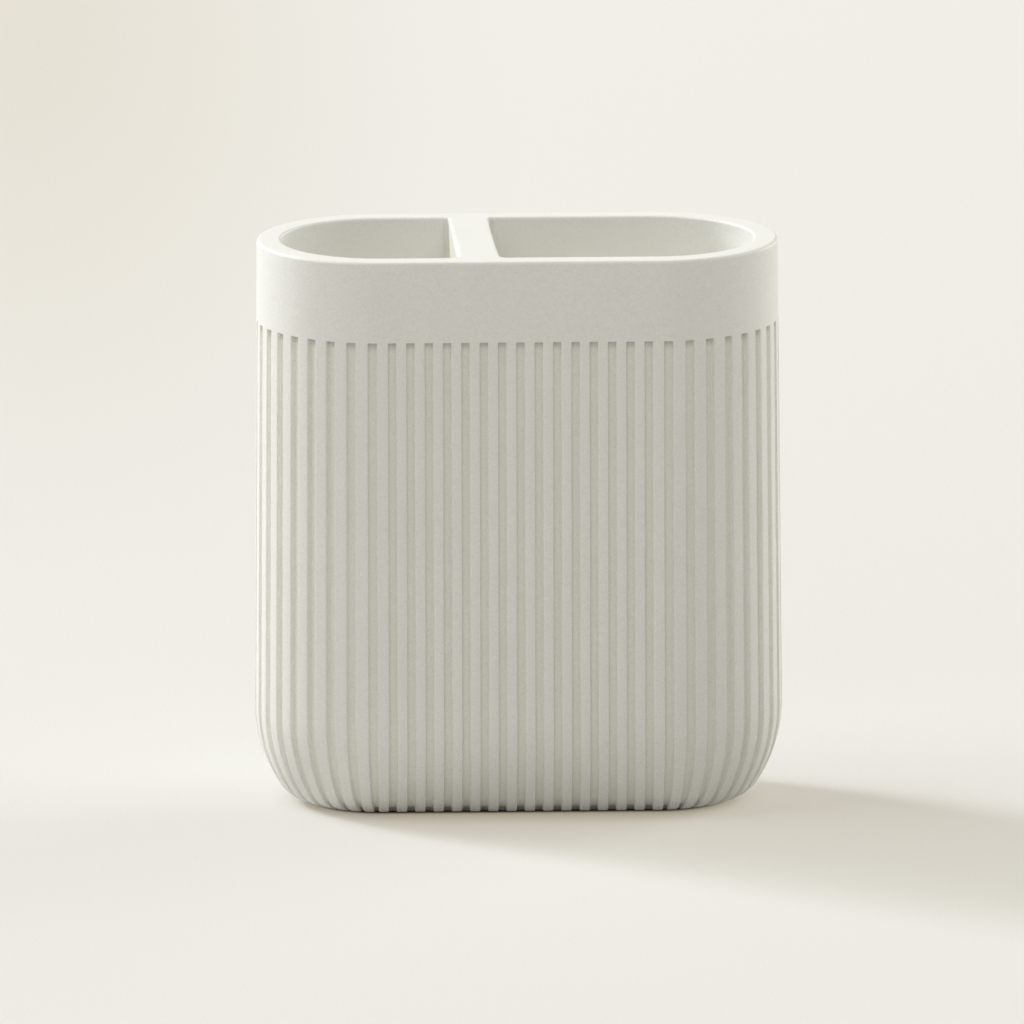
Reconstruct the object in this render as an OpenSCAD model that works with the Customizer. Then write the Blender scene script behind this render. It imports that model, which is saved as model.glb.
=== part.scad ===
// Toothbrush holder with two compartments: a cast, fluted cup whose plan is a stadium,
// a smooth band under its rim, a slab that divides it, and four soft pads under it.
// Millimetres, with +Z up. The table is at zero height, +X is to the right and -Y is
// the front. The origin is midway along the cup and midway from front to back.

/* [Cup] */
// Length of the cup from end to end, where it is widest
cup_length = 110.6; // [100:0.2:140]
// Depth of the cup from front to back, where it is widest
cup_depth = 53.2; // [49:0.2:60]
// Height of the rim above the table
rim_height = 120; // [95:1:150]
// Angle at which the outer wall leans in, from the rounded foot up to the rim
wall_lean = 0.45; // [0:0.05:1.2]
// Thickness of the wall at the rim
wall = 5; // [4:0.1:7]
// Thickness of the cup's floor
floor_thickness = 7; // [5:0.5:12]
// Radius where a compartment's walls turn into its floor
pocket_round = 12; // [6:0.5:16]
// Radius of the rim's outer edge
rim_outer_round = 0.8; // [0.3:0.1:1.5]
// Radius of the rim's inner edge
rim_inner_round = 0.6; // [0.3:0.1:1.5]

/* [Rounded foot] */
// Radius of the long curve that draws the wall in
belly_round = 30; // [22:0.5:34]
// Angle that the long curve turns through
belly_angle = 34; // [26:1:42]
// Radius of the short curve that runs on to the flat base
toe_round = 7.5; // [5:0.5:11]

/* [Grooves] */
// Height of the smooth band between the grooves and the rim
band_height = 17.2; // [8:0.2:40]
// Depth of a groove
groove_depth = 1; // [0.5:0.1:1.5]
// Number of grooves on each straight side
side_grooves = 15; // [9:1:18]
// Number of grooves round each end
end_grooves = 18; // [12:1:20]
// Width of a groove on a straight side
side_groove_width = 1.7; // [1:0.1:2.2]
// Width of a groove round an end, up the wall
end_groove_width = 1.95; // [1:0.05:2.6]
// Width to which that groove narrows at the flat base
toe_groove_width = 0.8; // [0.5:0.05:1.2]

/* [Divider] */
// Thickness of the divider
divider_thickness = 8.2; // [5:0.2:12]
// Distance from the cup's middle to the divider's, to the left
divider_offset = 9.6; // [0:0.2:16]
// How far the divider is let into the walls and the floor
divider_tongue = 1.5; // [1:0.1:2]
// Radius of the divider's two top edges
divider_round = 1.2; // [0.4:0.1:2]
// Thickness of the bond between the divider and its channel
bond_gap = 0.1; // [0.05:0.05:0.3]

/* [Pads] */
// Diameter of a pad
pad_diameter = 9; // [6:0.5:11]
// Thickness of a pad
pad_thickness = 1.6; // [1.3:0.1:2.4]
// Radius of the edge that a pad stands on
pad_edge_round = 0.3; // [0.1:0.05:0.5]
// Depth of the recess that a pad is stuck into
recess_depth = 1; // [0.6:0.1:1.2]
// Gap round a pad in its recess
recess_clearance = 0.2; // [0.1:0.05:0.4]

/* [Hidden] */
$fn = 96;

// How far a cut runs past the surface that it opens
overrun = 1;
// Colours of the cast body and of the pads
cast_white = [0.91, 0.9, 0.87];
pad_grey = [0.72, 0.72, 0.7];

// Plan of the cup at its widest: two half rounds about centres on the X axis, and straights
end_radius = cup_depth / 2;
half_straight = cup_length / 2 - end_radius;

// Heights, from the table up
base_z = pad_thickness - recess_depth;
floor_z = base_z + floor_thickness;
band_z = rim_height - band_height;

// The foot's section: the long curve, then the short one, tangent to it and to the base
toe_x = end_radius - belly_round + (belly_round - toe_round) * cos(belly_angle);
toe_z = base_z + toe_round;
belly_x = end_radius - belly_round;
belly_z = toe_z + (belly_round - toe_round) * sin(belly_angle);

// How far the outer wall lies from the end's axis at a height, set in by inset
function wall_reach(inset, height) =
    belly_x + (belly_round - inset) / cos(wall_lean) - (height - belly_z) * tan(wall_lean);

// The compartments' section
pocket_radius = wall_reach(0, rim_height) - wall;
pocket_corner_x = pocket_radius - pocket_round;
pocket_corner_z = floor_z + pocket_round;

// Grooves are spread evenly, with a rib centred wherever a straight meets an end
side_pitch = 2 * half_straight / side_grooves;
end_step = 180 / end_grooves;

// Each pad lies midway between the cup's centre line and the edge of its flat base
recess_radius = pad_diameter / 2 + recess_clearance;
pad_y = toe_x / 2;

// Half of the cup's outer section, from its axis out, with the foot drawn in by inset
module cup_section(inset) {
    join_z = toe_z - (toe_round - inset) * sin(belly_angle);
    lean_x = (belly_round - inset) * cos(wall_lean);
    lean_z = (belly_round - inset) * sin(wall_lean);
    wall_x = end_radius - inset;
    edge_z = rim_height - rim_outer_round;
    edge_x = wall_reach(inset + rim_outer_round, edge_z);
    polygon([
        [0, belly_z],
        [belly_x + lean_x, belly_z + lean_z],
        [edge_x + rim_outer_round * cos(wall_lean), edge_z + rim_outer_round * sin(wall_lean)],
        [edge_x, edge_z + rim_outer_round],
        [0, edge_z + rim_outer_round]
    ]);
    translate([edge_x, edge_z])
        circle(r = rim_outer_round);
    intersection() {
        translate([belly_x, belly_z])
            circle(r = belly_round - inset);
        translate([0, join_z])
            square([wall_x, belly_z + lean_z - join_z]);
    }
    intersection() {
        translate([toe_x, toe_z])
            circle(r = toe_round - inset);
        translate([toe_x, base_z])
            square([wall_x - toe_x, join_z - base_z]);
    }
    translate([0, base_z])
        square([toe_x, join_z - base_z]);
}

// Half of the compartments' section, grown into the walls and the floor by grow
module pocket_section(grow) {
    translate([0, pocket_corner_z])
        square([pocket_radius + grow, rim_height + overrun - pocket_corner_z]);
    translate([0, floor_z - grow])
        square([pocket_corner_x, pocket_round + grow]);
    intersection() {
        translate([pocket_corner_x, pocket_corner_z])
            circle(r = pocket_round + grow);
        translate([pocket_corner_x, floor_z - grow])
            square([pocket_round + grow, pocket_round + grow]);
    }
}

// The eased inner edge of the rim, as the sliver that is cut from its corner
module rim_easing_section() {
    ease_z = rim_height - rim_inner_round;
    difference() {
        translate([pocket_radius, ease_z])
            square([rim_inner_round, rim_inner_round + overrun]);
        translate([pocket_radius + rim_inner_round, ease_z])
            circle(r = rim_inner_round);
    }
}

// What a groove takes away, seen in section: all that lies outside the drawn-in foot
module groove_section() {
    difference() {
        translate([toe_x, base_z - overrun])
            square([end_radius + overrun - toe_x, band_z - base_z + overrun]);
        cup_section(groove_depth);
    }
}

// A slice across the cup, as wide as given, with its section in the YZ plane
module slice_across(width) {
    rotate([90, 0, 90])
        linear_extrude(height = width, center = true)
            children();
}

// Turns a section about both end centres and runs it along both straights
module around_stadium() {
    for (side = [-1, 1])
        translate([side * half_straight, 0, 0])
            rotate([0, 0, side * 90 - 180])
                rotate_extrude(angle = 180)
                    children();
    slice_across(2 * half_straight) {
        children();
        mirror([1, 0])
            children();
    }
}

// Grooves of even width on the front and the back
module side_groove_cuts() {
    for (i = [0 : side_grooves - 1])
        for (side = [0, 1])
            translate([(i - (side_grooves - 1) / 2) * side_pitch, 0, 0])
                mirror([0, side, 0])
                    slice_across(side_groove_width)
                        groove_section();
}

// One groove of an end, which narrows along its plan from the wall to the base
module end_groove_cut() {
    reach = end_radius + overrun;
    narrowing = (end_groove_width - toe_groove_width) / (end_radius - toe_x);
    reach_width = toe_groove_width + narrowing * (reach - toe_x);
    intersection() {
        rotate([90, 0, 0])
            linear_extrude(height = 2 * reach_width, center = true)
                groove_section();
        translate([0, 0, base_z - overrun])
            linear_extrude(height = band_z - base_z + overrun)
                polygon([
                    [toe_x, -toe_groove_width / 2],
                    [reach, -reach_width / 2],
                    [reach, reach_width / 2],
                    [toe_x, toe_groove_width / 2]
                ]);
    }
}

module end_groove_cuts() {
    for (side = [0, 1])
        mirror([side, 0, 0])
            translate([half_straight, 0, 0])
                for (i = [0 : end_grooves - 1])
                    rotate([0, 0, (i + 1 / 2) * end_step - 90])
                        end_groove_cut();
}

// The slab's outline across the cup: the compartments' section, grown on three sides
module divider_outline(grow) {
    pocket_section(grow);
    mirror([1, 0])
        pocket_section(grow);
}

// The channel down the walls and along the floor that the divider is bonded into
module divider_channel() {
    translate([-divider_offset, 0, 0])
        slice_across(divider_thickness + 2 * bond_gap)
            divider_outline(divider_tongue + bond_gap);
}

// A recess in the flat base, or the pad in it, goes to each of four places
module at_pad(x_side, y_side) {
    translate([x_side * half_straight, y_side * pad_y, 0])
        children();
}

module pad_recesses() {
    for (x_side = [-1, 1])
        for (y_side = [-1, 1])
            at_pad(x_side, y_side)
                translate([0, 0, base_z - overrun])
                    cylinder(r = recess_radius, h = recess_depth + overrun);
}

// The cast cup, in one piece from its rim to its base
module cup() {
    color(cast_white)
        difference() {
            around_stadium()
                cup_section(0);
            around_stadium()
                pocket_section(0);
            around_stadium()
                rim_easing_section();
            side_groove_cuts();
            end_groove_cuts();
            divider_channel();
            pad_recesses();
        }
}

// What rounds one long top edge of the divider, where it spans the open cup
module divider_edge_cut() {
    rotate([90, 0, 0])
        linear_extrude(height = 2 * pocket_radius, center = true)
            difference() {
                translate([divider_thickness / 2 - divider_round, rim_height - divider_round])
                    square([divider_round + overrun, divider_round + overrun]);
                translate([divider_thickness / 2 - divider_round, rim_height - divider_round])
                    circle(r = divider_round);
            }
}

// The slab that divides the cup, let into its walls and its floor, flush with the rim
module divider() {
    color(cast_white)
        translate([-divider_offset, 0, 0])
            difference() {
                slice_across(divider_thickness)
                    intersection() {
                        divider_outline(divider_tongue);
                        translate([-end_radius, 0])
                            square([cup_depth, rim_height]);
                    }
                divider_edge_cut();
                mirror([1, 0, 0])
                    divider_edge_cut();
            }
}

// A round pad, eased where it stands on the table and flat where it is stuck on
module pad() {
    color(pad_grey)
        rotate_extrude() {
            translate([0, pad_edge_round])
                square([pad_diameter / 2, pad_thickness - pad_edge_round]);
            square([pad_diameter / 2 - pad_edge_round, 2 * pad_edge_round]);
            intersection() {
                translate([pad_diameter / 2 - pad_edge_round, pad_edge_round])
                    circle(r = pad_edge_round);
                square([pad_diameter / 2, pad_edge_round]);
            }
        }
}

module pad_front_left() {
    at_pad(-1, -1)
        pad();
}

module pad_front_right() {
    at_pad(1, -1)
        pad();
}

module pad_back_left() {
    at_pad(-1, 1)
        pad();
}

module pad_back_right() {
    at_pad(1, 1)
        pad();
}

cup();
divider();
pad_front_left();
pad_front_right();
pad_back_left();
pad_back_right();
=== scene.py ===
# %% [markdown]
# # A fluted cup for toothbrushes
# The object is one casting: a tall cup whose plan is a stadium, two half rounds joined by straights.
# Narrow grooves run up its sides to a smooth band under the rim, and a slab divides its inside.
# This lesson builds that casting as two surfaces worked out with numpy, gives them a matte mineral
# finish, and lights them as a small product photograph.

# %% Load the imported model
import math

import bpy
import numpy as np
from mathutils import Matrix, Vector
from mathutils.geometry import delaunay_2d_cdt


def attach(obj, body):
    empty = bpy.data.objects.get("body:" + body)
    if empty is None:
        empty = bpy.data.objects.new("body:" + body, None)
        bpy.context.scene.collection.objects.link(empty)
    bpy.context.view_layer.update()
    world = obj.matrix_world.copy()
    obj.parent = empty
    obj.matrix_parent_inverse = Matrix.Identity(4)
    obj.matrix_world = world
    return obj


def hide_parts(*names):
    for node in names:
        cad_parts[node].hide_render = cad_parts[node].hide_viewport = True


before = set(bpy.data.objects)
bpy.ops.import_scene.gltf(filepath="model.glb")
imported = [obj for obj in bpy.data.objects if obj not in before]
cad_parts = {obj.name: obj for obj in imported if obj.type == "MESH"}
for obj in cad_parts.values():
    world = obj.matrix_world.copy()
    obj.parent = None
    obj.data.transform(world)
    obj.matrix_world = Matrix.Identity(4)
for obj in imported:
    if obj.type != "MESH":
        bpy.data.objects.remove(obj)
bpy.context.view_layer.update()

print("nodes in the packed model:", sorted(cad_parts))

# %% [markdown]
# ## The camera
# The photograph was taken with a long lens from a little above, so the front of the cup is almost a
# flat elevation and the rim shows as a narrow oval. The lens is given by its focal length in
# pixels of a frame 1024 wide, and the camera looks at a point of the cup's axis from 8 m away.
# It could be aimed with a Track To constraint, but here the three axes of the camera are written
# straight into its matrix, because that keeps the small turn and roll exact.

# %% Place the camera
MM = 0.001
FRAME_WIDTH = 1024.0
FOCAL_PIXELS = 38183.8
SENSOR_WIDTH = 36.0
CAMERA_DISTANCE = 8000.0
CAMERA_PITCH = math.radians(12.027)
CAMERA_YAW = math.radians(1.43)
CAMERA_ROLL = math.radians(-0.157)
AIM_SIDEWAYS = -1.24
AIM_HEIGHT = 61.167
NEAREST_SEEN = 0.05
FARTHEST_SEEN = 50.0


def place_camera():
    """Camera axes: a frame turned by the yaw about Z, tipped down by the pitch, rolled about the view.

    Position = aim point - distance * view direction."""
    turn = Matrix.Rotation(-CAMERA_YAW, 3, "Z")
    right = turn @ Vector((1, 0, 0))
    view = turn @ Vector((0, math.cos(CAMERA_PITCH), -math.sin(CAMERA_PITCH)))
    up = turn @ Vector((0, math.sin(CAMERA_PITCH), math.cos(CAMERA_PITCH)))
    aim = turn @ Vector((AIM_SIDEWAYS, 0, 0)) + Vector((0, 0, AIM_HEIGHT))
    across = math.cos(CAMERA_ROLL) * right + math.sin(CAMERA_ROLL) * up
    upright = math.cos(CAMERA_ROLL) * up - math.sin(CAMERA_ROLL) * right
    place = (aim - CAMERA_DISTANCE * view) * MM
    camera = bpy.data.objects.new("camera", bpy.data.cameras.new("camera"))
    camera.data.sensor_width = SENSOR_WIDTH
    camera.data.lens = SENSOR_WIDTH * FOCAL_PIXELS / FRAME_WIDTH
    camera.data.clip_start = NEAREST_SEEN
    camera.data.clip_end = FARTHEST_SEEN
    axes = Matrix((across, upright, -view)).transposed().to_4x4()
    camera.matrix_world = Matrix.Translation(place) @ axes
    bpy.context.scene.collection.objects.link(camera)
    bpy.context.scene.camera = camera
    return camera


camera = place_camera()
place = [round(value, 3) for value in camera.matrix_world.translation]
print("camera at", place, "m, with a lens of", round(camera.data.lens, 1), "mm")

# %% [markdown]
# ## Putting numpy arrays into a mesh
# A surface is worked out as one array of points and a few arrays of faces, each with one row of
# corners per face. Blender could smooth it by the angle between faces, but on a casting with tiny
# eased edges it looks better if the large faces decide: each point's normal is the sum of the
# faces round it, by area. So flats stay flat and only the eased edges catch the light.

# %% Helpers for meshes
def area_normals(points, face_sets):
    """Normal of a point = sum, over its faces, of twice the face's area along its normal, made unit long.

    Twice the area of a face, as a vector = sum of corner x next corner."""
    total = np.zeros_like(points)
    for faces in face_sets:
        ring = points[faces]
        area = np.cross(ring, np.roll(ring, -1, axis=1)).sum(axis=1)
        np.add.at(total, faces, area[:, None, :])
    return total / np.maximum(np.linalg.norm(total, axis=1, keepdims=True), 1e-12)


def ease_between(value, low, high):
    """Smooth step: 3 t^2 - 2 t^3 of how far value lies from low to high."""
    t = np.clip((value - low) / (high - low), 0, 1)
    return t * t * (3 - 2 * t)


def make_piece(name, points, face_sets, material, shares):
    """Makes a mesh object from points in millimetres, with its place in the mesh and its own normals.

    shares: one number a point, from 0 to 1, under each name that the material reads."""
    mesh = bpy.data.meshes.new(name)
    faces = [face for block in face_sets for face in block.tolist()]
    mesh.from_pydata((points * MM).tolist(), [], faces)
    mesh.shade_smooth()
    mesh.normals_split_custom_set_from_vertices(area_normals(points, face_sets).tolist())
    mesh.materials.append(material)
    for label, share in shares.items():
        mesh.attributes.new(label, "FLOAT", "POINT").data.foreach_set("value", share.astype(np.float32))
    piece = bpy.data.objects.new(name, mesh)
    bpy.context.scene.collection.objects.link(piece)
    triangles = sum(len(block) * (block.shape[1] - 2) for block in face_sets)
    print(name, "has", len(points), "points and", triangles, "triangles")
    return piece


def grid_quads(index, closed):
    """Quads between neighbouring rows and columns of an array of point numbers, facing out of the cup."""
    if closed:
        index = np.hstack([index, index[:, :1]])
    quads = np.stack([index[:-1, :-1], index[1:, :-1], index[1:, 1:], index[:-1, 1:]], axis=-1)
    return quads.reshape(-1, 4)


def bridge_faces(fine, coarse):
    """One wide flat face between each pair of coarse points and the run of fine points beside them."""
    run = len(fine) // len(coarse)
    start = np.arange(len(coarse))[:, None] * run
    outer = fine[(start + np.arange(run + 1)) % len(fine)]
    inner = np.stack([np.roll(coarse, -1), coarse], axis=1)
    return np.hstack([outer, inner])


# %% [markdown]
# ## The cup's section
# On the real cup a mould gives the outside its section: an eased rim, the smooth band, a straight
# wall, a long curve that draws the foot in, and a tighter one that runs on to the flat base. The
# wall leans in by 0.45 degrees towards the rim, which lets the casting slide out of its mould. The
# section could be a Bezier curve turned round the plan. Here it is written as rows of points, each
# with the direction that points out of the wall there, because a groove is then just a step inwards
# along that direction.

# %% Sizes of the casting, in millimetres
CUP_LENGTH = 110.6
CUP_DEPTH = 53.2
WALL_LEAN = 0.45
RIM_HEIGHT = 120.0
WALL = 5.0
BASE_HEIGHT = 0.6
FLOOR_HEIGHT = 7.6
POCKET_ROUND = 12.0
RIM_OUTER_ROUND = 0.8
RIM_INNER_ROUND = 0.6
BELLY_ROUND = 30.0
BELLY_ANGLE = 34.0
TOE_ROUND = 7.5
BAND_HEIGHT = 17.2
GROOVE_DEPTH = 1.0
SIDE_GROOVES = 15
END_GROOVES = 18
SIDE_GROOVE_WIDTH = 1.7
END_GROOVE_WIDTH = 1.95
TOE_GROOVE_WIDTH = 0.8

END_RADIUS = CUP_DEPTH / 2
HALF_STRAIGHT = CUP_LENGTH / 2 - END_RADIUS
BAND_EDGE = RIM_HEIGHT - BAND_HEIGHT
TOE_SPREAD = math.radians(BELLY_ANGLE)
TOE_REACH = END_RADIUS - BELLY_ROUND + (BELLY_ROUND - TOE_ROUND) * math.cos(TOE_SPREAD)
TOE_TOP = BASE_HEIGHT + TOE_ROUND
BELLY_REACH = END_RADIUS - BELLY_ROUND
BELLY_TOP = TOE_TOP + (BELLY_ROUND - TOE_ROUND) * math.sin(TOE_SPREAD)
LEAN = math.radians(WALL_LEAN)


def wall_reach(height, inset=0.0):
    """Reach of the leaning wall, or of a line an inset inside it, from the cup's middle plane.

    Reach = belly centre + (belly round - inset) / cos lean - (height - belly top) * tan lean."""
    return BELLY_REACH + (BELLY_ROUND - inset) / math.cos(LEAN) - (height - BELLY_TOP) * math.tan(LEAN)


POCKET_RADIUS = wall_reach(RIM_HEIGHT) - WALL


def arc(centre, radius, start, end, steps):
    """Rows of reach, height and normal: centre + radius * (cos, sin) of start to end, in degrees."""
    angle = np.radians(np.linspace(start, end, steps))
    normal = np.stack([np.cos(angle), np.sin(angle)], axis=1)
    return np.hstack([np.array(centre) + radius * normal, normal])


def straight(start, end, steps):
    """Rows down a straight wall from one reach and height to another, with its normal outwards."""
    start, end = np.array(start), np.array(end)
    place = start + (end - start) * np.linspace(0, 1, steps)[:, None]
    normal = np.array([start[1] - end[1], end[0] - start[0]])
    return np.hstack([place, np.tile(normal / np.linalg.norm(normal), (steps, 1))])


def leaning_wall(heights):
    """Rows of the cup's outer wall at given heights, with the normal tipped up by the lean."""
    heights = np.asarray(heights)
    flat = np.ones_like(heights)
    return np.stack([wall_reach(heights), heights, math.cos(LEAN) * flat, math.sin(LEAN) * flat], axis=1)


# %% [markdown]
# ## The grooves
# Each groove is a shallow channel with eased edges: over them its depth grows from nothing to the
# full 1 mm, and a small fillet turns the wall into the floor. The same eased step is used twice,
# across a groove and at its top end under the band, and the product of the two shares gives the
# depth at any place. Cutting 66 channels out of a solid with Booleans would give the same shape
# with sharp edges, and no easy way to ease them all.

# %% Step of a groove's edge
EDGE_EASE = 0.22
FLOOR_FILLET = 0.25
WALL_DRAFT = 0.05
WALL_START = 0.2


def eased_step():
    """Two columns: how far past the edge, and what share of the depth, down to the groove's floor.

    Rounded edge: ease * (1 - sin t) past it, at a depth of ease * (1 - cos t).
    Fillet at the floor: the same with its own radius, turned round."""
    turn = np.radians(np.linspace(0, 90, 4))
    edge = np.stack([EDGE_EASE * (1 - np.sin(turn)), EDGE_EASE * (1 - np.cos(turn))], axis=1)
    turn = np.radians(np.linspace(0, 90, 3))
    fillet = np.stack([
        -WALL_DRAFT - FLOOR_FILLET * (1 - np.cos(turn)),
        GROOVE_DEPTH - FLOOR_FILLET * (1 - np.sin(turn)),
    ], axis=1)
    step = np.vstack([edge, fillet])
    step[:, 1] /= GROOVE_DEPTH
    return step


step = eased_step()
STATION_SIDE = np.concatenate([[-1.0], np.full(len(step), -1.0), [0.0], np.full(len(step), 1.0)])
STATION_PAST = np.concatenate([[0.0], step[:, 0], [0.0], step[::-1, 0]])
STATION_DEPTH = np.concatenate([[0.0], step[:, 1], [1.0], step[::-1, 1]])
STATION_WALL = np.where((STATION_DEPTH > WALL_START) & (STATION_SIDE != 0), 1.0, 0.0)
print("columns across one groove and its rib:", len(STATION_SIDE))

# %% [markdown]
# ## Down the outside
# The real grooves end under the band in the same soft edge that they have along their sides. So the
# rows down the outside repeat the groove's step at the band's edge, and the share of the depth grows
# over them as it does across a groove. Even rows would be simpler, but that short step would fall
# between two of them.

# %% Rows down the outside of the section
BASE_EDGE = 0.15
rim_edge = RIM_HEIGHT - RIM_OUTER_ROUND
rim_rows = arc((wall_reach(rim_edge, RIM_OUTER_ROUND), rim_edge), RIM_OUTER_ROUND, 90, WALL_LEAN, 5)
band_rows = leaning_wall(np.linspace(rim_edge, BAND_EDGE + EDGE_EASE, 4)[1:-1])
ledge_rows = leaning_wall(BAND_EDGE + step[:, 0])
wall_rows = leaning_wall(np.linspace(ledge_rows[-1, 1], BELLY_TOP, 9)[1:-1])
belly_rows = arc((BELLY_REACH, BELLY_TOP), BELLY_ROUND, WALL_LEAN, -BELLY_ANGLE, 10)
toe_rows = arc((TOE_REACH, TOE_TOP), TOE_ROUND, -BELLY_ANGLE, -90, 12)[1:]
base_row = np.array([[TOE_REACH - BASE_EDGE, BASE_HEIGHT, 0.0, -1.0]])
outer_rows = np.vstack([rim_rows, band_rows, ledge_rows, wall_rows, belly_rows, toe_rows, base_row])
plain_rows = len(rim_rows) + len(band_rows)
outer_share = np.concatenate([
    np.zeros(plain_rows),
    step[:, 1],
    np.ones(len(wall_rows) + len(belly_rows) + len(toe_rows)),
    [0.0],
])
print("rows down the outside:", len(outer_rows))

# %% [markdown]
# ## Round the plan
# The plan has 66 pitches, each a groove with half a rib on either side: 15 along the front, 18
# round the right end, 15 along the back and 18 round the left end. A pitch has a foot on the
# cup's middle line, a direction outwards and a direction along. On the straights the ribs run
# parallel, and round an end they fan out, so there the columns are placed by angle.

# %% Pitches of the plan
SIDE_PITCH = 2 * HALF_STRAIGHT / SIDE_GROOVES
END_STEP = math.pi / END_GROOVES


def plan_pitches():
    """Foot, heading and kind of each pitch, anticlockwise from the left of the front.

    Straights: foot = middle of the pitch, heading fixed.
    Ends: foot = the end's centre, heading = step * (number of the pitch + 1/2)."""
    along = (np.arange(SIDE_GROOVES) - (SIDE_GROOVES - 1) / 2) * SIDE_PITCH
    fan = (np.arange(END_GROOVES) + 0.5) * END_STEP
    end = np.full(END_GROOVES, HALF_STRAIGHT)
    foot = np.concatenate([along, end, -along, -end])
    heading = np.concatenate([
        np.full(SIDE_GROOVES, -math.pi / 2), fan - math.pi / 2,
        np.full(SIDE_GROOVES, math.pi / 2), fan + math.pi / 2,
    ])
    straight = np.concatenate([np.ones(SIDE_GROOVES), np.zeros(END_GROOVES)] * 2).astype(bool)
    return foot, heading, straight


PITCH_FOOT, PITCH_HEADING, PITCH_STRAIGHT = plan_pitches()


def on_plan(reach, across, angle):
    """Point of the plan. Straights: foot + reach outwards + across. Ends: foot + reach at heading + angle."""
    foot = PITCH_FOOT[None, :, None]
    straight = PITCH_STRAIGHT[None, :, None]
    heading = PITCH_HEADING[None, :, None]
    bearing = heading + np.where(straight, 0, angle)
    sideways = np.where(straight, across, 0)
    x = foot + reach * np.cos(bearing) - sideways * np.sin(heading)
    y = reach * np.sin(bearing) + sideways * np.cos(heading)
    return x, y


def grooved_surface(rows, share):
    """Surface of rows down the section by columns round the plan, stepped in along the normal in each groove.

    Step = depth * share of the row * share of the column.
    Width of an end groove = its width at the toe + widening * (reach - reach of the toe)."""
    reach, height, out, rise = (rows[:, i, None, None] for i in range(4))
    depth = GROOVE_DEPTH * share[:, None, None] * STATION_DEPTH
    reach = reach - depth * out
    height = height - depth * rise
    widening = (END_GROOVE_WIDTH - TOE_GROOVE_WIDTH) / (END_RADIUS - TOE_REACH)
    end_half = (TOE_GROOVE_WIDTH + widening * (reach - TOE_REACH)) / 2
    across = STATION_SIDE * (SIDE_GROOVE_WIDTH / 2 + STATION_PAST) + 0 * reach
    angle = STATION_SIDE * (end_half + STATION_PAST) / reach
    across[..., 0] = -SIDE_PITCH / 2
    angle[..., 0] = -END_STEP / 2
    x, y = on_plan(reach, across, angle)
    z = height + 0 * x
    return np.stack([x, y, z], axis=-1).reshape(len(rows), -1, 3)


def smooth_surface(rows):
    """Surface of rows by two columns a pitch, at the middles of its rib and its groove, with no groove."""
    reach = rows[:, 0, None, None] + np.zeros((1, 1, 2))
    x, y = on_plan(reach, np.array([-SIDE_PITCH / 2, 0]), np.array([-END_STEP / 2, 0]))
    z = rows[:, 1, None, None] + 0 * x
    return np.stack([x, y, z], axis=-1).reshape(len(rows), -1, 3)


# %% [markdown]
# ## The inside and the base
# The compartments' wall runs straight down and turns into the floor with a round that a finger can
# wipe. It needs no fine columns, so it takes two a pitch. The rim between is flat, which lets one
# ring of wide faces join the fine grid outside to the coarse one inside. The flat base is filled by
# a Delaunay triangulation, which keeps the four round recesses for the pads open.

# %% Rows of the inside, and the recesses of the base
PAD_RECESS_RADIUS = 4.7
PAD_RECESS_TOP = 1.6
RECESS_EASE = 0.15
RECESS_EASE_BEND = 0.3 * RECESS_EASE
BASE_RING = 1.0
CIRCLE_STEPS = 48
SAME_POINT = 1e-6
PAD_PLACES = [(side * HALF_STRAIGHT, end * TOE_REACH / 2) for side in (-1, 1) for end in (-1, 1)]


def inner_section():
    """Rows from the rim's inner edge down: an eased corner, a straight wall, a quarter round to the floor."""
    ease = arc((POCKET_RADIUS + RIM_INNER_ROUND, RIM_HEIGHT - RIM_INNER_ROUND), RIM_INNER_ROUND, 90, 180, 5)
    corner_top = FLOOR_HEIGHT + POCKET_ROUND
    wall = straight((POCKET_RADIUS, RIM_HEIGHT - RIM_INNER_ROUND), (POCKET_RADIUS, corner_top), 7)[1:-1]
    corner = arc((POCKET_RADIUS - POCKET_ROUND, corner_top), POCKET_ROUND, 0, -90, 14)
    return np.vstack([ease, wall, corner])


def recess_rings(centre):
    """Rings of a round recess: an eased edge, its wall, and the rim of its ceiling, upwards from the base."""
    angle = np.linspace(0, 2 * math.pi, CIRCLE_STEPS, endpoint=False)
    radius = np.array([RECESS_EASE, RECESS_EASE_BEND, 0.0, 0.0]) + PAD_RECESS_RADIUS
    ceiling = PAD_RECESS_TOP - BASE_HEIGHT
    height = np.array([0.0, RECESS_EASE_BEND, RECESS_EASE, ceiling]) + BASE_HEIGHT
    x = centre[0] + radius[:, None] * np.cos(angle)
    y = centre[1] + radius[:, None] * np.sin(angle)
    return np.stack([x, y, height[:, None] + 0 * x], axis=-1)


def fill_base(outline, circles):
    """Triangles of the flat base between its outline and the recesses, facing down."""
    loops = [outline] + circles
    flat = [Vector((point[0], point[1])) for loop in loops for point in loop]
    edges, start = [], 0
    for loop in loops:
        here = start + np.arange(len(loop))
        edges += np.stack([here, np.roll(here, -1)], axis=1).tolist()
        start += len(loop)
    found = delaunay_2d_cdt(flat, edges, [], 0, SAME_POINT)
    if len(found[0]) != len(flat):
        raise RuntimeError("the base's outline and recesses cross")
    triangles = np.array(found[2])
    corners = np.array([point[:] for point in found[0]])[triangles]
    middle = corners.mean(axis=1)
    kept = np.ones(len(triangles), bool)
    side_distance = (PAD_RECESS_RADIUS + RECESS_EASE) * math.cos(math.pi / CIRCLE_STEPS)
    for place in PAD_PLACES:
        kept &= np.hypot(middle[:, 0] - place[0], middle[:, 1] - place[1]) > side_distance
    first = corners[:, 1] - corners[:, 0]
    second = corners[:, 2] - corners[:, 0]
    upward = first[:, 0] * second[:, 1] - first[:, 1] * second[:, 0] > 0
    triangles[upward] = triangles[upward][:, ::-1]
    return triangles[kept]


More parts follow.
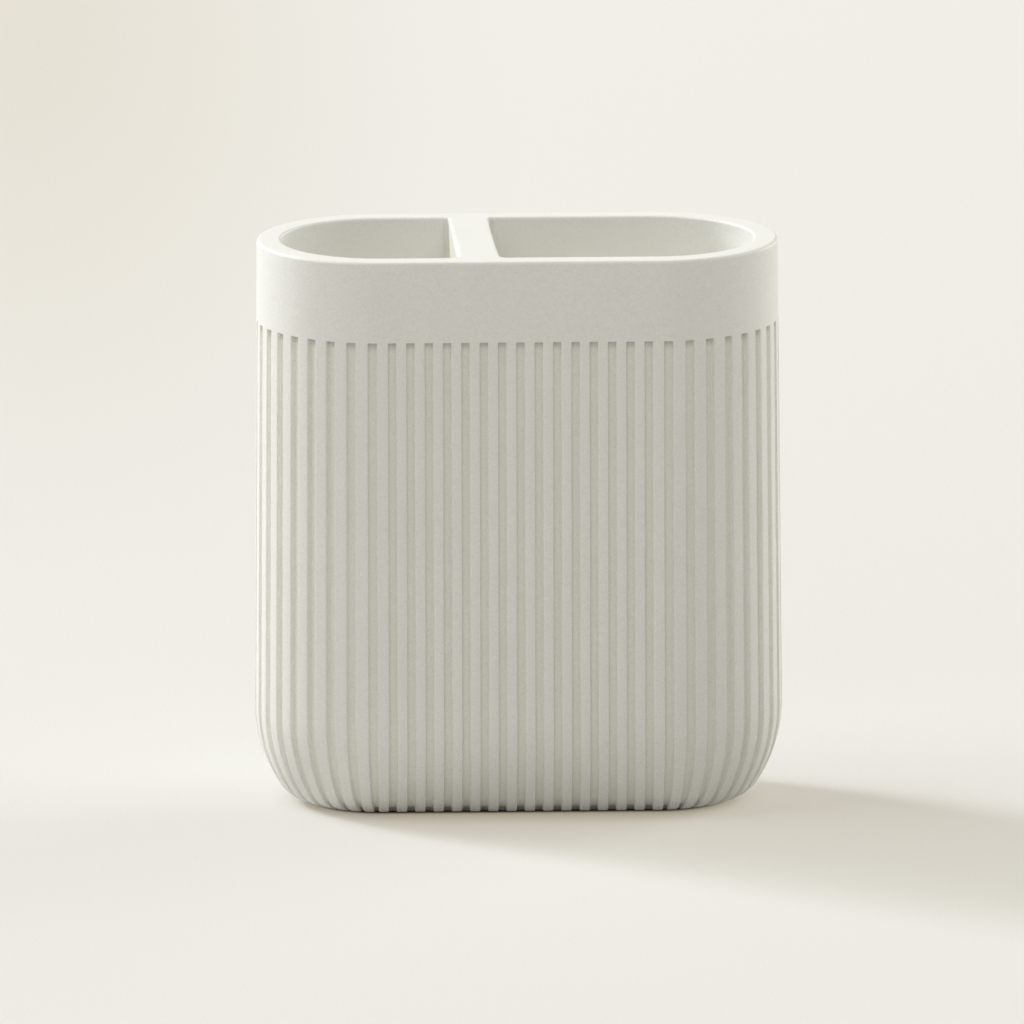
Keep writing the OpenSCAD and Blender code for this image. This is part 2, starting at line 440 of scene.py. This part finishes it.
# %% [markdown]
# ## The material of the casting
# The real cup is a matte, slightly warm white, with the very fine grain of a mineral filler. The
# finish could be a scanned picture wrapped round it, but that would need a seam and a fixed size.
# Here it is worked out on Object coordinates, so it runs through both pieces of the casting without
# a break: soft clouds of tint a centimetre or two wide, specks and pores of a few tenths of a
# millimetre, and a shallow bump. The grain is a node group, because the pads and the table share it.

# %% Node group for mineral grain
# Levels of a noise that count as none and as all of it.
CLOUD_LEVELS = (0.3, 0.7)
SPECK_LEVELS = (0.62, 0.74)
PORE_LEVELS = (0.25, 0.75)
ROUGH_LEVELS = (0.3, 0.7)


def new_group(name, inputs, outputs):
    """A node group with float inputs, given as name and default, and outputs, given as name and kind."""
    group = bpy.data.node_groups.new(name, "ShaderNodeTree")
    for label, value in inputs:
        group.interface.new_socket(label, in_out="INPUT", socket_type="NodeSocketFloat").default_value = value
    for label, kind in outputs:
        group.interface.new_socket(label, in_out="OUTPUT", socket_type=kind)
    return group, group.nodes.new("NodeGroupInput"), group.nodes.new("NodeGroupOutput")


def noise(tree, vector, scale, detail, roughness):
    """A noise texture on the given coordinates, with its scale either a number or a socket."""
    node = tree.nodes.new("ShaderNodeTexNoise")
    tree.links.new(vector, node.inputs["Vector"])
    if isinstance(scale, float):
        node.inputs["Scale"].default_value = scale
    else:
        tree.links.new(scale, node.inputs["Scale"])
    node.inputs["Detail"].default_value = detail
    node.inputs["Roughness"].default_value = roughness
    return node.outputs["Fac"]


def map_range(tree, value, low, high, to_low, to_high):
    """A Map Range node that takes low..high to to_low..to_high and holds its ends."""
    node = tree.nodes.new("ShaderNodeMapRange")
    tree.links.new(value, node.inputs["Value"])
    for label, number in zip(("From Min", "From Max", "To Min", "To Max"), (low, high, to_low, to_high)):
        node.inputs[label].default_value = number
    return node.outputs["Result"]


def calculate(tree, operation, first, second):
    """A Math node on two inputs, each a number or a socket."""
    node = tree.nodes.new("ShaderNodeMath")
    node.operation = operation
    for socket, value in zip(node.inputs, (first, second)):
        if isinstance(value, float):
            socket.default_value = value
        else:
            tree.links.new(value, socket)
    return node.outputs["Value"]


def grain_group():
    """Clouds, specks and a grain height from three noises on Object coordinates, per metre of the object."""
    group, given, result = new_group(
        "mineral_grain",
        [("Cloud Scale", 60.0), ("Speck Scale", 1800.0), ("Grain Scale", 3000.0)],
        [("Clouds", "NodeSocketFloat"), ("Specks", "NodeSocketFloat"), ("Grain", "NodeSocketFloat")],
    )
    place = group.nodes.new("ShaderNodeTexCoord").outputs["Object"]
    clouds = noise(group, place, given.outputs["Cloud Scale"], detail=4.0, roughness=0.55)
    specks = noise(group, place, given.outputs["Speck Scale"], detail=2.0, roughness=0.6)
    grain = noise(group, place, given.outputs["Grain Scale"], detail=3.0, roughness=0.6)
    group.links.new(map_range(group, clouds, *CLOUD_LEVELS, 0.0, 1.0), result.inputs["Clouds"])
    group.links.new(map_range(group, specks, *SPECK_LEVELS, 0.0, 1.0), result.inputs["Specks"])
    group.links.new(grain, result.inputs["Grain"])
    return group


GRAIN = grain_group()


def mix_colour(tree, share, first, second, blend="MIX"):
    """A Mix node on colours: share of second laid on first, each a colour or a socket."""
    node = tree.nodes.new("ShaderNodeMix")
    node.data_type = "RGBA"
    node.blend_type = blend
    for label, value in (("A", first), ("B", second)):
        socket = [s for s in node.inputs if s.name == label and s.type == "RGBA"][0]
        if isinstance(value, tuple):
            socket.default_value = (*value, 1.0)
        else:
            tree.links.new(value, socket)
    factor = [s for s in node.inputs if s.name == "Factor" and s.type == "VALUE"][0]
    if isinstance(share, float):
        factor.default_value = share
    else:
        tree.links.new(share, factor)
    return [s for s in node.outputs if s.type == "RGBA"][0]


PORE_COLOUR = (0.0, 0.0, 0.0)


def grained_material(name, colours, scales, roughness, bump, pores=0.0, shine=0.5):
    """A Principled material whose colour, roughness and bump follow the mineral grain group.

    colours: base, cloud and speck. scales: clouds, specks and grain, per metre.
    roughness: smooth and rough end. bump: strength, and distance in millimetres.
    pores: the most that the grain darkens the colour.
    shine: the shader's specular level, where 0.5 is that of glazed ware."""
    material = bpy.data.materials.new(name)
    material.use_nodes = True
    tree = material.node_tree
    shader = tree.nodes["Principled BSDF"]
    grain = tree.nodes.new("ShaderNodeGroup")
    grain.node_tree = GRAIN
    for socket, value in zip(grain.inputs, scales):
        socket.default_value = value
    tint = mix_colour(tree, grain.outputs["Clouds"], colours[0], colours[1])
    colour = mix_colour(tree, grain.outputs["Specks"], tint, colours[2])
    pore = map_range(tree, grain.outputs["Grain"], *PORE_LEVELS, 0.0, pores)
    colour = mix_colour(tree, pore, colour, PORE_COLOUR)
    tree.links.new(colour, shader.inputs["Base Color"])
    rough = map_range(tree, grain.outputs["Grain"], *ROUGH_LEVELS, *roughness)
    tree.links.new(rough, shader.inputs["Roughness"])
    shader.inputs["Specular IOR Level"].default_value = shine
    relief = tree.nodes.new("ShaderNodeBump")
    relief.inputs["Strength"].default_value = bump[0]
    relief.inputs["Distance"].default_value = bump[1] * MM
    tree.links.new(grain.outputs["Grain"], relief.inputs["Height"])
    tree.links.new(relief.outputs["Normal"], shader.inputs["Normal"])
    return material


# %% [markdown]
# ## Three finishes
# The casting is matte with fine pores, the pads are taken to be soft grey rubber, and the table is a
# smooth pale sheet. Each could have a node tree of its own, but all three are fine-grained, so one
# function makes them with their own colours, scales and depths. The pores darken the colour too,
# because a bump of a fiftieth of a millimetre hardly shows from this far.

# %% Materials of the casting, the pads and the table
cast_stone = grained_material(
    "cast_stone",
    colours=((0.968, 0.964, 0.945), (0.984, 0.981, 0.966), (0.921, 0.912, 0.884)),
    scales=(70.0, 1900.0, 2300.0),
    roughness=(0.40, 0.54),
    bump=(0.35, 0.02),
    pores=0.110,
    shine=0.33,
)
pad_rubber = grained_material(
    "pad_rubber",
    colours=((0.40, 0.40, 0.385), (0.45, 0.45, 0.43), (0.34, 0.34, 0.33)),
    scales=(300.0, 2500.0, 5000.0),
    roughness=(0.70, 0.85),
    bump=(0.4, 0.02),
)
table_top = grained_material(
    "table_top",
    colours=((0.512, 0.534, 0.590), (0.516, 0.538, 0.594), (0.502, 0.524, 0.577)),
    scales=(3.0, 900.0, 1500.0),
    roughness=(0.85, 0.95),
    bump=(0.1, 0.02),
    pores=0.080,
    shine=0.1,
)
print("materials:", [material.name for material in (cast_stone, pad_rubber, table_top)])

# %% [markdown]
# ## Tones that stand in for light
# On the real cup, by how the light falls, the grooves look a little warmer, their walls and closed top ends a
# little darker than the ribs, the compartments lighter and warmer, and the divider's left face dark at its
# top. These lamps give only a part of that, so painted shade and painted bounce light stand in for the rest.
# Vertex paint would need a brush. Instead the mesh
# keeps a number for each point, which says how much of a groove, of a groove's wall, of a
# compartment or of a shaded face it is. The material reads those numbers with Attribute nodes and
# lays one tone on for each.

# %% Tones of the casting
CAP_HEIGHT = 2.0
# Painted shade tint in the grooves: a little less blue.
GROOVE_PAINTED_SHADE_TINT = (1.0, 1.0, 0.970)
# Painted shade on the grooves' walls: a little darker.
GROOVE_WALL_PAINTED_SHADE = (0.970, 0.970, 0.970)
# Painted shade under the band's ledge, at each groove's closed top.
CAP_PAINTED_SHADE = (0.700, 0.708, 0.670)
# Painted bounce light in the compartments: a lighter, warmer colour below the rim.
HOLLOW_PAINTED_BOUNCE_LIGHT = (0.988, 0.980, 0.925)
# Painted shade at the top of the divider's left face.
SHADE_TONE = (0.850, 0.828, 0.800)


def named_share(tree, name):
    """The number that the mesh keeps for each point under this name, or nothing where it has none."""
    node = tree.nodes.new("ShaderNodeAttribute")
    node.attribute_name = name
    return node.outputs["Fac"]


def object_height(tree):
    """The height of the shaded point above the object's origin, in metres."""
    split = tree.nodes.new("ShaderNodeSeparateXYZ")
    tree.links.new(tree.nodes.new("ShaderNodeTexCoord").outputs["Object"], split.inputs["Vector"])
    return split.outputs["Z"]


def paint_light_and_shade_on_casting(material):
    """Lays the painted light and shade on: a shade tint in the grooves, painted shade on their walls and
    closed tops, painted bounce light in the compartments and painted shade on the divider's left face.

    Painted shade of a closed top = share of the groove * smooth step over the last millimetres below the
    band."""
    tree = material.node_tree
    shader = tree.nodes["Principled BSDF"]
    groove = named_share(tree, "groove")
    top = map_range(tree, object_height(tree), (BAND_EDGE - CAP_HEIGHT) * MM, BAND_EDGE * MM, 0.0, 1.0)
    top.node.interpolation_type = "SMOOTHSTEP"
    ledge_shade_share = calculate(tree, "MULTIPLY", groove, top)
    colour = shader.inputs["Base Color"].links[0].from_socket
    colour = mix_colour(tree, groove, colour, GROOVE_PAINTED_SHADE_TINT, "MULTIPLY")
    colour = mix_colour(tree, named_share(tree, "groove_wall_painted_shade"), colour, GROOVE_WALL_PAINTED_SHADE, "MULTIPLY")
    colour = mix_colour(tree, ledge_shade_share, colour, CAP_PAINTED_SHADE, "MULTIPLY")
    colour = mix_colour(tree, named_share(tree, "hollow_painted_light"), colour, HOLLOW_PAINTED_BOUNCE_LIGHT)
    colour = mix_colour(tree, named_share(tree, "shade"), colour, SHADE_TONE, "MULTIPLY")
    tree.links.new(colour, shader.inputs["Base Color"])


paint_light_and_shade_on_casting(cast_stone)
print("tones on", cast_stone.name)

# %% [markdown]
# ## The table's colour
# The photograph's table is a pale cream sheet, brighter than the cup's front. A table that pale would throw
# too much light back up at the cup, so the colour that the camera sees and the colour that bounced light
# meets are kept apart with Light Path, and the seen one gets a warm painted glow of its own, which lifts the
# table's shadows. That glow stops under the cup, which paints a contact shadow there, and the far left of the
# table gets painted shade, slightly darker and browner. A simpler way is one plain colour, but then either
# the table or the cup's front comes out wrong.

# %% Tones of the table
TABLE_BOUNCE = (0.600, 0.587, 0.553)
# Painted glow, seen only by the camera, that lifts the table's shadows, and its warm colour.
TABLE_PAINTED_GLOW = 0.312
TABLE_PAINTED_GLOW_COLOUR = (1.0, 0.866, 0.617)
# Painted contact shadow: the glow fades in over this span, in millimetres from the base's outline.
PAINTED_CONTACT_SHADOW = (-1.6, 1.0)
# Painted shade at the far left of the table: its place, its reach and its colour.
FAR_LEFT_PLACE = (-0.100, 0.860)
FAR_LEFT_REACH = (0.130, 0.760)
FAR_LEFT_PAINTED_SHADE = (0.895, 0.864, 0.810)


def seen_directly(tree):
    """One where the camera or a mirror-like ray meets the surface, nothing where bounced light does."""
    path = tree.nodes.new("ShaderNodeLightPath")
    return calculate(tree, "MAXIMUM", path.outputs["Is Camera Ray"], path.outputs["Is Glossy Ray"])


def far_left_painted_shade(tree):
    """Painted shade: white over most of the table, turning softly into a darker, browner colour towards a
    place at the far left.

    Share of that colour = smooth step of 1 - distance from the place, in units of the reach each way."""
    place = tree.nodes.new("ShaderNodeMapping")
    place.vector_type = "TEXTURE"
    place.inputs["Location"].default_value = (*FAR_LEFT_PLACE, 0.0)
    place.inputs["Scale"].default_value = (*FAR_LEFT_REACH, 1.0)
    tree.links.new(tree.nodes.new("ShaderNodeTexCoord").outputs["Object"], place.inputs["Vector"])
    ball = tree.nodes.new("ShaderNodeTexGradient")
    ball.gradient_type = "SPHERICAL"
    tree.links.new(place.outputs["Vector"], ball.inputs["Vector"])
    share = map_range(tree, ball.outputs["Fac"], 0.0, 1.0, 0.0, 1.0)
    share.node.interpolation_type = "SMOOTHSTEP"
    return mix_colour(tree, share, (1.0, 1.0, 1.0), FAR_LEFT_PAINTED_SHADE)


def painted_contact_shadow_group():
    """Share of the painted glow: nothing under the cup, which paints the contact shadow, and one away from
    it, by the distance from the base's outline in the plan.

    Distance = hypot(max(|x| - half straight, 0), y) - reach of the base."""
    group, given, result = new_group("painted_contact_shadow", [], [("Open", "NodeSocketFloat")])
    split = group.nodes.new("ShaderNodeSeparateXYZ")
    group.links.new(group.nodes.new("ShaderNodeTexCoord").outputs["Object"], split.inputs["Vector"])
    from_middle = calculate(group, "ABSOLUTE", split.outputs["X"], 0.0)
    past_end = calculate(group, "SUBTRACT", from_middle, HALF_STRAIGHT * MM)
    past_end = calculate(group, "MAXIMUM", past_end, 0.0)
    along_square = calculate(group, "POWER", past_end, 2.0)
    across_square = calculate(group, "MULTIPLY", split.outputs["Y"], split.outputs["Y"])
    square = calculate(group, "ADD", along_square, across_square)
    distance = calculate(group, "SUBTRACT", calculate(group, "SQRT", square, 0.0), TOE_REACH * MM)
    fade = map_range(group, distance, PAINTED_CONTACT_SHADOW[0] * MM, PAINTED_CONTACT_SHADOW[1] * MM, 0.0, 1.0)
    fade.node.interpolation_type = "SMOOTHSTEP"
    group.links.new(fade, result.inputs["Open"])
    return group


def tone_for_the_eye(material, bounce, glow_colour, strength):
    """Where seen directly, the grained colour and a painted glow that lifts the shadows. For bounced light,
    one colour.

    Painted glow = strength * seen directly * share away from the cup's contact, so a painted contact shadow
    stays under the cup."""
    tree = material.node_tree
    shader = tree.nodes["Principled BSDF"]
    seen = seen_directly(tree)
    tone = far_left_painted_shade(tree)
    grained = mix_colour(tree, 1.0, shader.inputs["Base Color"].links[0].from_socket, tone, "MULTIPLY")
    tree.links.new(mix_colour(tree, seen, bounce, grained), shader.inputs["Base Color"])
    tree.links.new(mix_colour(tree, 1.0, glow_colour, tone, "MULTIPLY"), shader.inputs["Emission Color"])
    contact = tree.nodes.new("ShaderNodeGroup")
    contact.node_tree = painted_contact_shadow_group()
    painted_glow = map_range(tree, seen, 0.0, 1.0, 0.0, strength)
    painted_glow = calculate(tree, "MULTIPLY", painted_glow, contact.outputs["Open"])
    tree.links.new(painted_glow, shader.inputs["Emission Strength"])


tone_for_the_eye(table_top, TABLE_BOUNCE, TABLE_PAINTED_GLOW_COLOUR, TABLE_PAINTED_GLOW)
print("tones on", table_top.name)

# %% [markdown]
# ## The cup
# The outside is a fine grid, the inside a coarse one, and a ring of wide faces joins them over the
# flat rim. It could be two objects, one for each, but a cup that is one closed skin casts true
# shadows and can be printed. Each part's points get numbers first, as an array of the part's own
# shape, so every face is written as a slice of those arrays.

# %% Build the cup
HOLLOW_FADE = 4.0


def painted_bounce_light_share(points):
    """Share of the compartments' painted bounce light at each point: a smooth step over the first 4 mm below
    the rim.
    """
    return ease_between(RIM_HEIGHT - points[..., 2], RIM_INNER_ROUND, HOLLOW_FADE)


def build_cup():
    """The casting as one closed surface: outside, rim, inside, base and recesses."""
    outside = grooved_surface(outer_rows, outer_share)
    inside = smooth_surface(inner_section())
    base_ring = smooth_surface(np.array([[TOE_REACH - BASE_RING, BASE_HEIGHT, 0.0, -1.0]]))
    recesses = [recess_rings(place) for place in PAD_PLACES]
    blocks = [outside, inside, base_ring] + recesses
    ends = np.cumsum([block.shape[0] * block.shape[1] for block in blocks])
    numbers = [
        np.arange(end - block.shape[0] * block.shape[1], end).reshape(block.shape[:2])
        for end, block in zip(ends, blocks)
    ]
    out_no, in_no, base_no = numbers[:3]
    face_sets = [
        grid_quads(out_no, True),
        bridge_faces(out_no[0], in_no[0]),
        grid_quads(in_no, True)[:, ::-1],
        in_no[-1:],
        bridge_faces(out_no[-1], base_no[0])[:, ::-1],
    ]
    to_base = np.concatenate([base_no[0]] + [number[0] for number in numbers[3:]])
    face_sets.append(to_base[fill_base(base_ring[0], [ring[0] for ring in recesses])])
    for number in numbers[3:]:
        face_sets.append(grid_quads(number, True))
        face_sets.append(number[-1:, ::-1])
    points = np.concatenate([block.reshape(-1, 3) for block in blocks])
    # Masks of painted shade in the grooves and of painted bounce light in the compartments.
    shares = {name: np.zeros(len(points)) for name in ("groove", "groove_wall_painted_shade", "hollow_painted_light")}
    shares["groove"][out_no] = outer_share[:, None] * np.tile(STATION_DEPTH, len(PITCH_FOOT))
    shares["groove_wall_painted_shade"][out_no] = outer_share[:, None] * np.tile(STATION_WALL, len(PITCH_FOOT))
    shares["hollow_painted_light"][in_no] = painted_bounce_light_share(points[in_no])
    return make_piece("cup_casting", points, face_sets, cast_stone, shares)


cup_casting = build_cup()
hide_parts("cup")
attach(cup_casting, "root")

# %% [markdown]
# ## The divider
# On the real cup the divider grows out of the walls: a small round runs down each corner where it
# meets them, and its top is level with the rim, with two soft edges. The edges aren't parallel: both
# drift to the right towards the front, the right one by more, and the left one's round grows.
# A cube with a Bevel modifier would give neither. So its two faces are grids over nested U curves,
# from a little inside the cup's wall to well into the slab. The curve at an inset of nothing is the
# compartments' own outline, and near it the thickness grows as a quarter round.

# %% Build the divider
DIVIDER_THICKNESS = 8.2
DIVIDER_OFFSET = 9.6
DIVIDER_ROUNDS = {"left": 0.95, "right": 0.5}
ROUND_GROWTH = {"left": 0.35, "right": 0.0}
ROUND_RUN = 2.5
LEFT_TURN = 0.45
TURN_START = 0.6
HIDDEN_DROP = 0.15
CORNER_ROUND = 1.0
FRONT_SPREAD = 1.5
SPREAD_POWER = 1.8
TOP_STEPS = 6
WALL_STEPS = 18
CORNER_STEPS = 12
SHADE_DEPTHS = (0.0, 1.6, 6.0, 12.0)
INSETS = np.array([-0.7, -RIM_INNER_ROUND, 0.0, 0.08, 0.2, 0.4, 0.7, 1.0, 1.6, 2.6, 5.0, 8.0, 11.0])


def outline_half(top_round):
    """One half of the nested U curves, down its top round and its wall and round the corner.

    Half width = pocket radius - inset, floor = pocket floor + inset, corner = pocket round - inset.
    The third array says how much the top round takes off the slab there."""
    half = (POCKET_RADIUS - INSETS)[:, None]
    floor = (FLOOR_HEIGHT + INSETS)[:, None]
    corner = (POCKET_ROUND - INSETS)[:, None]
    top = np.where(INSETS < -RIM_INNER_ROUND, RIM_HEIGHT - HIDDEN_DROP, RIM_HEIGHT)[:, None]
    edge = RIM_INNER_ROUND + (top_round - RIM_INNER_ROUND) * ease_between(INSETS, 0.0, ROUND_RUN)[:, None]
    turn = np.linspace(math.pi / 2, 0, TOP_STEPS)
    top_z = top - edge * (1 - np.sin(turn))
    top_in = edge * (1 - np.cos(turn))
    share = np.linspace(0, 1, WALL_STEPS)[1:]
    wall_z = top_z[:, -1:] + (floor + corner - top_z[:, -1:]) * share
    bend = np.radians(np.linspace(180, 270, CORNER_STEPS))[1:]
    corner_y = -half + corner + corner * np.cos(bend)
    corner_z = floor + corner + corner * np.sin(bend)
    y = np.hstack([-half + 0 * top_z, -half + 0 * wall_z, corner_y])
    z = np.hstack([top_z, wall_z, corner_z])
    thin = np.hstack([top_in, 0 * wall_z, 0 * corner_z])
    return y, z, thin


def divider_outline(side):
    """Nested U curves, one a row, each at its own inset, from the front to the back.

    Top round = the side's own + its growth * share of the way from the middle to the front."""
    forward = (1 - INSETS / POCKET_RADIUS)[:, None]
    front = outline_half(DIVIDER_ROUNDS[side] + ROUND_GROWTH[side] * forward)
    back = outline_half(DIVIDER_ROUNDS[side] - ROUND_GROWTH[side] * forward)
    y, z, thin = (np.hstack([near, far[:, ::-1]]) for near, far in zip(front, (-back[0], back[1], back[2])))
    return y, z, thin


def build_divider():
    """Two faces over the nested U curves, closed along the top and along the hidden edge in the walls.

    Half thickness = half the slab + corner round near the wall - rounding of the top edge.
    Right half: + spread * power of the share of the way from the back to the front.
    Left half: - turn * (start + share of the way from the middle to the front).
    Shade of the left face = smooth step into it * (1 - smooth step out of it), by the depth."""
    near = np.clip(CORNER_ROUND - INSETS, 0, CORNER_ROUND)[:, None]
    growth = CORNER_ROUND - np.sqrt(CORNER_ROUND ** 2 - near ** 2)
    half = DIVIDER_THICKNESS / 2 + growth
    y, z, thin = divider_outline("left")
    turn = LEFT_TURN * (TURN_START - y / POCKET_RADIUS)
    left = np.stack([-DIVIDER_OFFSET - half + thin + turn, y, z], axis=-1)
    y, z, thin = divider_outline("right")
    forward = np.clip((POCKET_RADIUS - y) / (2 * POCKET_RADIUS), 0, 1)
    spread = FRONT_SPREAD * forward ** SPREAD_POWER
    right = np.stack([-DIVIDER_OFFSET + half - thin + spread, y, z], axis=-1)
    rows, columns = y.shape
    left_no = np.arange(rows * columns).reshape(rows, columns)
    right_no = left_no + rows * columns
    face_sets = []
    for numbers, flip in ((left_no, False), (right_no, True)):
        inner = numbers[-1]
        front, back = inner[:TOP_STEPS], inner[::-1][:TOP_STEPS]
        top = np.stack([front[:-1], front[1:], back[1:], back[:-1]], axis=1)
        middle = inner[None, TOP_STEPS - 1:columns - TOP_STEPS + 1]
        for faces, turned in ((grid_quads(numbers, False), False), (top, True), (middle, True)):
            face_sets.append(faces[:, ::-1] if flip != turned else faces)
    ring_left = np.concatenate([left_no[:, 0], left_no[::-1, -1]])
    ring_right = np.concatenate([right_no[:, 0], right_no[::-1, -1]])
    face_sets.append(np.stack([ring_left[:-1], ring_right[:-1], ring_right[1:], ring_left[1:]], axis=1))
    face_sets.append(np.stack([left_no[0, :-1], left_no[0, 1:], right_no[0, 1:], right_no[0, :-1]], axis=1))
    points = np.concatenate([left.reshape(-1, 3), right.reshape(-1, 3)])
    # Masks of painted bounce light in the compartments and of painted shade on the left face.
    below = RIM_HEIGHT - points[:, 2]
    shade = ease_between(below, *SHADE_DEPTHS[:2]) * (1 - ease_between(below, *SHADE_DEPTHS[2:]))
    shade[right_no.ravel()] = 0
    shares = {"hollow_painted_light": painted_bounce_light_share(points), "shade": shade}
    return make_piece("divider_casting", points, face_sets, cast_stone, shares)


divider_casting = build_divider()
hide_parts("divider")
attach(divider_casting, "root")

# %% [markdown]
# ## The pads
# Four soft discs under the base keep the casting off the table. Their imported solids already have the
# right shape, with an eased edge on the table's side, so they stay and only take a rubber finish.

# %% Finish the pads
for name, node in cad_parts.items():
    if name.startswith("pad_"):
        node.data.materials.clear()
        node.data.materials.append(pad_rubber)
        print(name, "takes", pad_rubber.name)

# %% [markdown]
# ## The table
# The cup stands on a pale sheet that fills the frame. A curved backdrop would be the usual way, but
# the camera looks down far enough that one wide square does the same.

# %% Lay the table
TABLE_HALF = 4.0


def lay_table():
    """One square, level with the bottom of the pads, from -half to +half each way."""
    corner = TABLE_HALF
    mesh = bpy.data.meshes.new("table")
    mesh.from_pydata(
        [(-corner, -corner, 0), (corner, -corner, 0), (corner, corner, 0), (-corner, corner, 0)],
        [],
        [(0, 1, 2, 3)],
    )
    mesh.materials.append(table_top)
    table = bpy.data.objects.new("table", mesh)
    bpy.context.scene.collection.objects.link(table)
    return table


table = lay_table()
print("table:", 2 * TABLE_HALF, "m square")

# %% [markdown]
# ## The lamps
# The photograph's main light is a window behind the left shoulder of the cup. It lights the left end
# and the rim, and lays a soft shadow to the right. Its shadow has a sharp core and a wide edge, so
# it is hung as a small bright lamp and a larger one beside it, a little higher, and a weak one
# farther round reaches more of the left end. The others stand for what the walls and the ceiling
# send back: they shape the front, which faces away from the window. A picture of a room could light
# it all at once, but its window couldn't be moved alone. Each lamp is an area lamp 6 m off, so its
# light is nearly even over the cup.

# %% Hang the lamps
LAMP_AIM = 0.06
WINDOW_TINT = (0.981, 1.0, 0.999)
ROOM_TINT = (0.943, 1.0, 0.882)
LAMPS = {
    # heading from +X and height angle in degrees, distance, width and height in metres, brightness, tint
    "window": (145.0, 28.0, 6.0, 1.0, 1.0, 0.350, WINDOW_TINT),
    "window_blind": (148.0, 34.0, 6.0, 1.8, 1.8, 0.342, WINDOW_TINT),
    "window_far": (195.0, 28.0, 6.0, 1.8, 1.8, 0.050, WINDOW_TINT),
    "ceiling_left": (180.0, 60.0, 6.0, 4.0, 4.0, 0.305, ROOM_TINT),
    "wall_front": (-105.0, 30.0, 6.0, 4.0, 4.0, 0.100, ROOM_TINT),
    "wall_front_right": (-45.0, 40.0, 6.0, 4.0, 4.0, 0.035, ROOM_TINT),
    "wall_right": (20.0, 30.0, 6.0, 4.0, 4.0, 0.300, ROOM_TINT),
    "low_strip": (45.0, 7.0, 6.0, 2.0, 1.2, 0.235, ROOM_TINT),
}


def hang_lamp(name, heading, height_angle, distance, width, height, brightness, tint):
    """An area lamp aimed at the cup's middle. Power = brightness * pi^2 * distance^2.

    So a white card that faces the lamp, seen alone, looks as bright as the number says."""
    heading, height_angle = math.radians(heading), math.radians(height_angle)
    level = math.cos(height_angle)
    toward = Vector((math.cos(heading) * level, math.sin(heading) * level, math.sin(height_angle)))
    data = bpy.data.lights.new(name, "AREA")
    data.shape = "RECTANGLE"
    data.size = width
    data.size_y = height
    data.energy = brightness * math.pi ** 2 * distance ** 2
    data.color = tint
    lamp = bpy.data.objects.new(name, data)
    lamp.location = Vector((0, 0, LAMP_AIM)) + toward * distance
    lamp.rotation_euler = toward.to_track_quat("Z", "Y").to_euler()
    bpy.context.scene.collection.objects.link(lamp)
    return lamp


for name, values in LAMPS.items():
    hang_lamp(name, *values)
print("lamps:", list(LAMPS))

# %% [markdown]
# ## The room
# What is left is light from all round, which softens every shadow. That is the world's colour. Past
# the table's far edge the world would also be seen, so Light Path gives the camera a brighter one,
# close to the table's own tone.

# %% Light the room
ROOM_COLOUR = (1.0, 0.900, 0.878)
ROOM_LIGHT = 0.300
ROOM_SEEN = 0.86


def light_room():
    """Even light from all round, at one strength for the scene and another where the camera sees it."""
    world = bpy.data.worlds.new("room")
    bpy.context.scene.world = world
    world.use_nodes = True
    tree = world.node_tree
    background = tree.nodes["Background"]
    background.inputs["Color"].default_value = (*ROOM_COLOUR, 1.0)
    path = tree.nodes.new("ShaderNodeLightPath")
    strength = map_range(tree, path.outputs["Is Camera Ray"], 0.0, 1.0, ROOM_LIGHT, ROOM_SEEN)
    tree.links.new(strength, background.inputs["Strength"])


light_room()
print("room light:", ROOM_LIGHT)
bpy.context.scene.view_settings.view_transform = "Standard"
